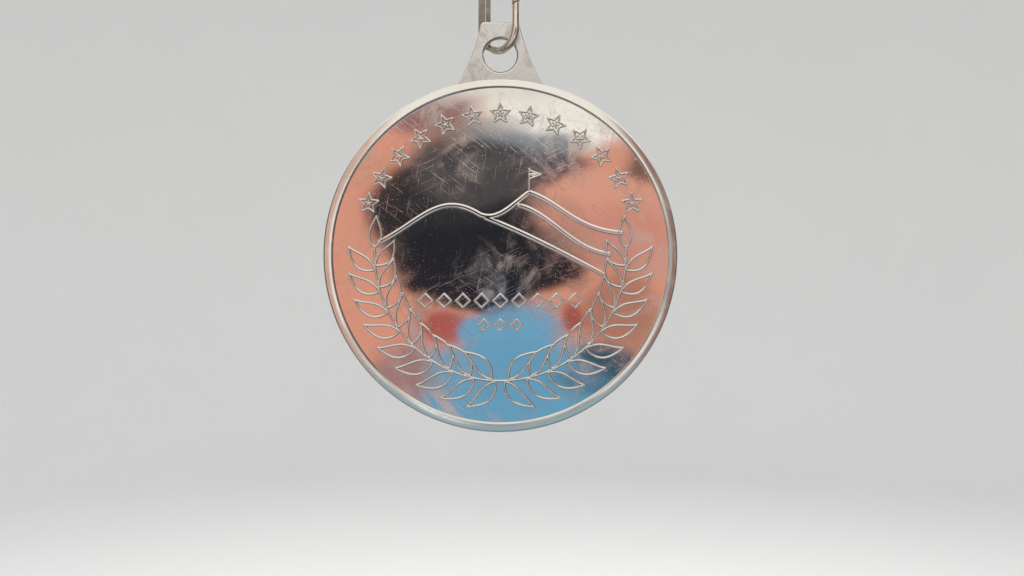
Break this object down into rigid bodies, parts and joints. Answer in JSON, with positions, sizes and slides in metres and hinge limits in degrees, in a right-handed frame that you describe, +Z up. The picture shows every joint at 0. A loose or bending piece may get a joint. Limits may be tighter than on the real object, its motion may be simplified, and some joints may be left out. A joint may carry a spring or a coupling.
{
  "type": "sports finisher medal",
  "caption": "Round mirror-plated medal with a laurel relief and a flared lug, hung on a swivel snap hook with a sprung gate and a wire eye for a neck ribbon.",
  "frame": {"origin": "centre of the disc's flat back", "axes": "+Z up, from the disc's centre to the lug and the hook; the face looks along -Y and the back along +Y; +X to the right as the face is seen"},
  "size_m": [0.07, 0.0112, 0.1084],
  "materials": {
    "medal_plate": "bright nickel plate, mirror field, satin lug and back, fine scratches",
    "hook_plate": "bright nickel plate, slightly warm, worn at the edges",
    "rivet_steel": "peened, satin",
    "spring_steel": "drawn wire"
  },
  "bodies": {
    "eye": {"swivel_eye": "hook_plate"},
    "hook": {"hook_body": "hook_plate", "gate_pin": "rivet_steel"},
    "trigger": {"gate": "hook_plate", "gate_spring": "spring_steel"},
    "medal": {"medal": "medal_plate"}
  },
  "joints": [
    {"name": "hook_swivel", "type": "hinge", "parent": "eye", "child": "hook", "pos_m": [0, -0.0015, 0.05976], "axis": [0, 0, 1], "continuous": true},
    {"name": "gate_hinge", "type": "hinge", "parent": "hook", "child": "trigger", "pos_m": [0.0029, -0.00411, 0.05576], "axis": [0.6691, 0.7431, 0], "range_deg": [0, 38], "stiffness_Nm_per_rad": 0.02, "springref_deg": -20.05, "deforming": ["gate_spring"]},
    {"name": "medal_swing", "type": "hinge", "parent": "hook", "child": "medal", "pos_m": [0, -0.0015, 0.0395], "axis": [0, 1, 0], "range_deg": [-60, 60]}
  ]
}
